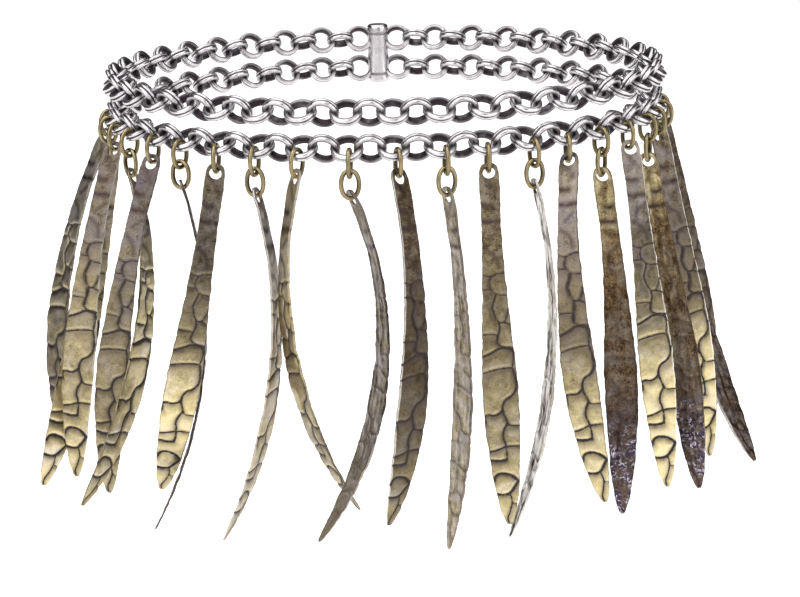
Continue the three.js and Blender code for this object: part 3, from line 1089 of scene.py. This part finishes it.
def embossing(across, down):
    """For each place on the leaf: distance to the nearest stroke in its half widths, and, from
    0 to 1, the depth pressed there, the dirt and painted shade round the stroke, reaching farther
    below it, and the painted highlight on the edge of the cell just above it."""
    places = np.stack([across, down], axis=1)
    reach = np.full(len(places), 9.0)
    pressed, soil_and_shade, rim = np.zeros((3, len(places)))
    for half, depth, corners in STROKES:
        away, below = line_distance(places, corners)
        # Dirt and painted shade round the stroke, reaching farther below it, so the top of the cell
        # below is darker.
        spread = SOIL_AND_SHADE_REACH * (1 + 0.65 * below)
        soil_and_shade = np.maximum(soil_and_shade, depth * np.exp(-((away / spread) ** 1.4)))
        # Painted highlight: a bright line on the lower edge of the cell above the stroke.
        beside = np.exp(-(((away - CELL_EDGE_HIGHLIGHT_REACH) / (0.15 * MM)) ** 2))
        rim = np.maximum(rim, depth * beside * np.clip(0.1 - 1.3 * below, 0, 1))
        pillow = 0.38 * np.exp(-away / PILLOW_REACH)
        away = away / (half * GROOVE_WIDENING * MM)
        reach = np.minimum(reach, away + 0.55 * (1 - depth))
        pressed = np.maximum(pressed, depth * (0.62 * np.exp(-(away**2)) + pillow))
    return reach, pressed, soil_and_shade, rim


def stained(across, down):
    """How strongly the flat stains lie at each place, from 0 to 1."""
    places = np.stack([across, down], axis=1)
    stain = np.zeros(len(places))
    for half, strength, corners in STAINS:
        away, _ = line_distance(places, corners)
        stain = np.maximum(stain, strength * np.exp(-((away / (half * MM)) ** 2)))
    return stain


def wander(across, down, wide, long, seed):
    """A smooth unevenness, about 0 and within 1, of patches so wide and so long, in mm."""
    return np.array(
        [
            noise.noise(Vector((x / (wide * MM), y / (long * MM), seed)))
            for x, y in zip(across, down)
        ]
    )


def displace(leaf, direction, strength, weights):
    """Moves each vertex by its weight, from -1 to 1, of the strength."""
    group = leaf.vertex_groups.new(name="moved")
    for index, weight in enumerate(np.clip(weights, -1, 1)):
        group.add([index], float(weight) / 2 + 0.5, "REPLACE")
    apply_modifier(
        leaf, "DISPLACE", direction=direction, strength=2 * strength, mid_level=0.0,
        vertex_group=group.name,
    )
    leaf.vertex_groups.clear()
    shift = Matrix.Translation([-strength * (axis == direction) for axis in "XYZ"])
    bake_place(leaf, shift)


def leaf_master(settings):
    """A flat leaf, its hole at the origin, tip down -Z, its embossed front towards -Y."""
    start()
    stations = len(LEAF_OUTLINE)
    columns = 22
    aside = 2
    bpy.ops.mesh.primitive_grid_add(
        x_subdivisions=columns, y_subdivisions=stations - 1, size=1,
        rotation=(math.pi / 2, 0, 0),
    )
    leaf = bpy.context.object
    bake_place(leaf)
    edit(leaf)
    for number, (_, width) in enumerate(LEAF_OUTLINE):
        place = 0.5 - number / (stations - 1)
        bpy.ops.mesh.select_all(action="DESELECT")
        choose(leaf, "verts", lambda v: abs(v.co.z - place) < 0.2 / stations and v.co.y > -1)
        bpy.ops.transform.resize(value=(width * MM, 1, 1), center_override=(0, 0, place))
        bpy.ops.transform.translate(value=(0, -aside, 0))
    # Each row comes back from aside at its own height. Rows that are back are passed over.
    for number, (down, _) in enumerate(LEAF_OUTLINE):
        place = 0.5 - number / (stations - 1)
        bpy.ops.mesh.select_all(action="DESELECT")
        choose(leaf, "verts", lambda v: abs(v.co.z - place) < 0.2 / stations and v.co.y < -1)
        goal = HOLE_FROM_TOP - down * MM
        bpy.ops.transform.translate(value=(0, aside - settings.thickness / 2, goal - place))
    row_step = 0.19 * MM
    for (top, _), (bottom, _) in zip(LEAF_OUTLINE, LEAF_OUTLINE[1:]):
        cuts = round((bottom - top) * MM / row_step) - 1
        if cuts < 1:
            continue
        high = HOLE_FROM_TOP - top * MM + 1e-6
        low = HOLE_FROM_TOP - bottom * MM - 1e-6
        bpy.ops.mesh.select_mode(type="EDGE")
        bpy.ops.mesh.select_all(action="DESELECT")
        choose(
            leaf, "edges",
            lambda e: abs(e.verts[0].co.z - e.verts[1].co.z) > 1e-5
            and all(low < v.co.z < high for v in e.verts),
        )
        bpy.ops.mesh.subdivide(number_cuts=cuts)
    bpy.ops.object.mode_set(mode="OBJECT")
    apply_modifier(leaf, "SOLIDIFY", thickness=settings.thickness, offset=-1.0)
    edit(leaf, "EDGE")
    bpy.ops.mesh.edges_select_sharp(sharpness=math.radians(60))
    bpy.ops.mesh.bevel(offset=0.06 * MM, segments=2, affect="EDGES")
    bpy.ops.mesh.select_mode(type="VERT")
    for part in THINNING_PLACES:
        bpy.ops.mesh.select_all(action="DESELECT")
        choose(leaf, "verts", lambda v: v.co.z < HOLE_FROM_TOP - part * LEAF_LENGTH)
        bpy.ops.transform.resize(value=(1, THINNING, 1), center_override=(0, 0, 0))
    tidy_mesh(leaf)
    start()
    bpy.ops.mesh.primitive_cylinder_add(
        vertices=40, radius=settings.hole_radius, depth=4 * settings.thickness,
        rotation=(math.pi / 2, 0, 0),
    )
    drill = bpy.context.object
    apply_modifier(leaf, "BOOLEAN", operation="DIFFERENCE", object=drill, solver="EXACT")
    discard(drill)
    emboss(leaf, settings)
    return leaf


def emboss(leaf, settings):
    """Presses the strokes into the leaf, and notes for the shader where they are."""
    points = coordinates(leaf.data)
    across = points[:, 0]
    down = HOLE_FROM_TOP - points[:, 2]
    reach, pressed, soil_and_shade, rim = embossing(across, down)
    skin = settings.thickness * np.interp(down / LEAF_LENGTH, (0.79, 0.97), (0.5, 0.27))
    front = points[:, 1] < -skin * 0.6
    back = points[:, 1] > skin * 0.6
    near_hole = np.hypot(across, points[:, 2]) < settings.hole_radius * 1.35
    calm = np.where(near_hole, 0.4, 1.0)
    pressed = 0.62 * pressed * np.where(front, 1.0, 0.55)
    hammered = wander(across, down, 2.2, 2.8, 3.1) + 0.4 * wander(across, down, 0.8, 0.9, 7.7)
    streaks = wander(across, down, 0.55, 5.0, 5.3)
    pressed = pressed + 0.34 * hammered * calm + 0.22 * streaks * np.where(back, calm, 0)
    displace(leaf, "Y", settings.groove_depth, pressed)
    half = leaf_width(down) / 2
    side = across / np.maximum(half, 1e-5)
    ragged = wander(side * 0.4 * MM, down, 1.0, 1.3, 9.2) + 0.6 * wander(side, down, 1, 0.5, 2.4)
    displace(leaf, "X", settings.ragged, ragged * np.abs(side) ** 3 * calm)
    border = np.clip((np.abs(side) - np.where(back, 0.86, 0.93)) * 18, 0, 1)
    write_attribute(leaf.data, "reach", np.minimum(reach, 9))
    write_attribute(leaf.data, "face", np.where(front, 1.0, np.where(back, 0.0, 0.4)))
    write_attribute(leaf.data, "border", np.where(front | back, border, 1.0) * np.sign(side))
    # Painted highlight on the cell edges, fainter on the back.
    write_attribute(leaf.data, "rim", rim * np.where(front, 1.0, 0.3))
    write_attribute(leaf.data, "down", down / LEAF_LENGTH)
    write_attribute(leaf.data, "along", down)
    write_attribute(leaf.data, "across", across)
    # Dirt and painted shade round the strokes, weaker on the back, join the flat stains.
    soil_and_shade = 0.92 * soil_and_shade * np.where(back, 0.5, 1.0)
    write_attribute(leaf.data, "stain", np.maximum(stained(across, down), soil_and_shade))


def mirror_normal(points):
    """The unit normal of the plane, through the middle of the points, that they mirror in."""
    middle = points.mean(axis=0)
    widest = max(width for _, width in LEAF_OUTLINE) * MM
    best_error, best = math.inf, None
    for i, first in enumerate(points):
        apart = points[i + 1:] - first
        widths = np.linalg.norm(apart, axis=1)
        for across, width in zip(apart, widths):
            if not 0.85 * widest < width < 1.15 * widest:
                continue
            normal = across / width
            mirrored = points - 2 * ((points - middle) @ normal)[:, None] * normal
            gaps = np.linalg.norm(mirrored[:, None] - points[None], axis=2).min(axis=1)
            if gaps.max() < best_error:
                best_error, best = gaps.max(), normal
    return best


def leaf_place(node):
    """(the matrix at the hole of a CAD drop, the radius of its bow)."""
    points = cad_points(node)
    middle = points.mean(axis=0)
    normal = mirror_normal(points)
    flat = points - middle
    flat = flat - (flat @ normal)[:, None] * normal
    length = np.linalg.svd(flat)[2][0]
    height = np.cross(normal, length)
    a, b = flat @ length, flat @ height
    fit = np.stack([a, b, np.ones_like(a)], axis=1)
    d, e, f = np.linalg.lstsq(fit, -(a**2 + b**2), rcond=None)[0]
    centre = np.array([-d / 2, -e / 2])
    radius = math.sqrt(centre @ centre - f)
    facing = math.atan2(-centre[1], -centre[0])
    angles = np.arctan2(b - centre[1], a - centre[0]) - facing
    angles = (angles + math.pi) % (2 * math.pi) - math.pi
    first, last = int(np.argmin(angles)), int(np.argmax(angles))
    way = 1 if points[first][2] > points[last][2] else -1
    top = angles[first if way > 0 else last]
    at_hole = facing + top + way * HOLE_FROM_TOP / radius
    bulge = math.cos(at_hole) * length + math.sin(at_hole) * height
    down = way * (-math.sin(at_hole) * length + math.cos(at_hole) * height)
    hole = middle + centre[0] * length + centre[1] * height + radius * bulge
    up, out = Vector(-down), Vector(bulge)
    return placed(up.cross(out), -out, up, Vector(hole)), radius


def age_leaf(mesh, look):
    """Writes the drop's own ageing along its length."""
    down = np.empty(len(mesh.vertices), dtype=np.float32)
    mesh.attributes["down"].data.foreach_get("value", down)
    write_attribute(mesh, "tone", np.interp(down, TONE_PLACES, look["tones"]))
    write_attribute(mesh, "grey", np.interp(down, GREY_PLACES, look["grey"]))
    write_attribute(mesh, "film", np.interp(down, VIOLET_PLACES, look["violet"]))
    # How bright the painted highlight on each cut edge is, left and right.
    for side, rubbed in zip(("left_rim", "right_rim"), look["edge_highlights"]):
        write_attribute(mesh, side, np.full(len(down), rubbed))
    write_attribute(mesh, "drop", np.full(len(down), look["drop"]))
    write_attribute(mesh, "streaks", np.full(len(down), look["streaks"]))


class ANKLET_OT_drops(bpy.types.Operator):
    """Builds the embossed leaf drops, each with its own bow and ageing"""

    bl_idname = "anklet.drops"
    bl_label = "Leaf drops"
    bl_options = {"REGISTER", "UNDO"}

    def execute(self, context):
        settings = context.scene.anklet_drops
        master = leaf_master(settings)
        material = leaf_material()
        for row in LOOKS:
            look = dict(zip(LOOK_COLUMNS, row))
            node = f"drop_{look['drop']:02d}"
            leaf = copy_of(master, f"{node}_leaf")
            matrix, radius = leaf_place(node)
            apply_modifier(
                leaf, "SIMPLE_DEFORM", deform_method="BEND", deform_axis="X",
                angle=LEAF_LENGTH / radius,
            )
            bake_place(leaf, matrix)
            age_leaf(leaf.data, look)
            finish_piece(leaf, material, node, 35)
        discard(master)
        return {"FINISHED"}


# ---------------------------------------------------------------- stage


def add_light(name, place, aim, size, power, color=(1, 1, 1)):
    start()
    bpy.ops.object.light_add(type="AREA", location=place)
    light = bpy.context.object
    light.name = light.data.name = name
    light.data.shape = "RECTANGLE"
    light.data.size, light.data.size_y = size
    light.data.energy = power
    light.data.color = color
    light.rotation_euler = (Vector(aim) - Vector(place)).to_track_quat("-Z", "Y").to_euler()


class ANKLET_OT_stage(bpy.types.Operator):
    """Builds the floor, the soft lights and the camera"""

    bl_idname = "anklet.stage"
    bl_label = "Stage"
    bl_options = {"REGISTER", "UNDO"}

    def execute(self, context):
        settings = context.scene.anklet_stage
        start()
        bpy.ops.mesh.primitive_plane_add(size=4, location=(0, 0, CAD_LOW[2] - settings.floor_gap))
        floor = bpy.context.object
        floor.name = floor.data.name = "stage_floor"
        material, nodes, shader = new_material("stage_paper")
        nodes.feed(shader, "Base Color", tuple(settings.floor))
        shader.inputs["Roughness"].default_value = 0.9
        nodes.feed(shader, "Emission Color", (1.0, 1.0, 1.0))
        direct = nodes.add("ShaderNodeLightPath").outputs["Is Camera Ray"]
        seen = nodes.math("MULTIPLY_ADD", direct, 0.5, 0.5)
        nodes.feed(shader, "Emission Strength", nodes.math("MULTIPLY", seen, settings.glow))
        floor.data.materials.append(material)
        floor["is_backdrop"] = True

        middle = (0, 0, -0.02)
        add_light("stage_key", (-0.35, -0.45, 0.45), middle, (1.0, 1.0), 6.5)
        add_light("stage_fill", (0.60, -0.45, 0.25), middle, (0.8, 0.8), 3.8)
        add_light("stage_top", (0, 0.10, 0.70), middle, (1.0, 1.0), 4.0)

        world = bpy.data.worlds.new("stage_world")
        context.scene.world = world
        world.use_nodes = True
        background = world.node_tree.nodes["Background"]
        background.inputs["Color"].default_value = (1.0, 1.0, 1.0, 1.0)
        sky = Nodes(world.node_tree)
        direction = sky.add("ShaderNodeTexCoord").outputs["Generated"]
        height = sky.add("ShaderNodeSeparateXYZ", inputs={"Vector": direction}).outputs["Z"]
        wall = sky.ramp(height, settings.wall_top, settings.wall_top + 0.25, 1.0, 0.12)
        ceiling = sky.ramp(height, 0.70, 0.90, 0.0, 0.8)
        around = sky.math("MULTIPLY", sky.math("ADD", wall, ceiling), settings.room)
        seen = sky.add("ShaderNodeLightPath").outputs["Is Camera Ray"]
        shade = sky.math("MAXIMUM", around, seen)
        sky.feed(background, "Strength", shade)
        context.scene.view_settings.view_transform = "Standard"

        elevation = settings.camera_elevation
        azimuth = settings.camera_azimuth
        away = Vector((math.sin(azimuth), -math.cos(azimuth), 0)) * math.cos(elevation)
        away.z = math.sin(elevation)
        bpy.ops.object.camera_add(location=away * settings.camera_distance)
        camera = bpy.context.object
        camera.name = camera.data.name = "stage_camera"
        camera.data.lens = settings.lens
        camera.data.sensor_width = 36
        camera.data.clip_start = 0.01
        camera.data.dof.use_dof = False
        aim = (-away).to_track_quat("-Z", "Y")
        turn = Euler((-settings.camera_tilt, settings.camera_pan, settings.camera_roll))
        camera.rotation_euler = (aim @ turn.to_quaternion()).to_euler()
        context.scene.camera = camera
        return {"FINISHED"}


# ---------------------------------------------------------------- panel and registration


class ANKLET_PT_panel(bpy.types.Panel):
    """Sizes, colours and build steps of the anklet"""

    bl_idname = "ANKLET_PT_panel"
    bl_label = "Anklet"
    bl_space_type = "VIEW_3D"
    bl_region_type = "UI"
    bl_category = "Anklet"

    def draw(self, context):
        for title, settings in (
            ("Chain", context.scene.anklet_chain),
            ("Jump rings", context.scene.anklet_rings),
            ("Drops", context.scene.anklet_drops),
            ("Stage", context.scene.anklet_stage),
        ):
            box = self.layout.box()
            box.label(text=title)
            for name in settings.__annotations__:
                box.prop(settings, name)
        for operator in OPERATORS:
            self.layout.operator(operator.bl_idname)


SETTINGS = {
    "anklet_chain": AnkletChainSettings,
    "anklet_rings": AnkletRingSettings,
    "anklet_drops": AnkletDropSettings,
    "anklet_stage": AnkletStageSettings,
}
OPERATORS = (ANKLET_OT_chain, ANKLET_OT_clasp, ANKLET_OT_rings, ANKLET_OT_drops, ANKLET_OT_stage)
CLASSES = (*SETTINGS.values(), *OPERATORS, ANKLET_PT_panel)


def register():
    for item in CLASSES:
        bpy.utils.register_class(item)
    for name, kind in SETTINGS.items():
        setattr(bpy.types.Scene, name, bpy.props.PointerProperty(type=kind))


def unregister():
    for name in SETTINGS:
        delattr(bpy.types.Scene, name)
    for item in reversed(CLASSES):
        bpy.utils.unregister_class(item)


def main():
    register()
    bpy.ops.anklet.chain()
    bpy.ops.anklet.clasp()
    bpy.ops.anklet.rings()
    bpy.ops.anklet.drops()
    bpy.ops.anklet.stage()


if __name__ == "__main__":
    main()
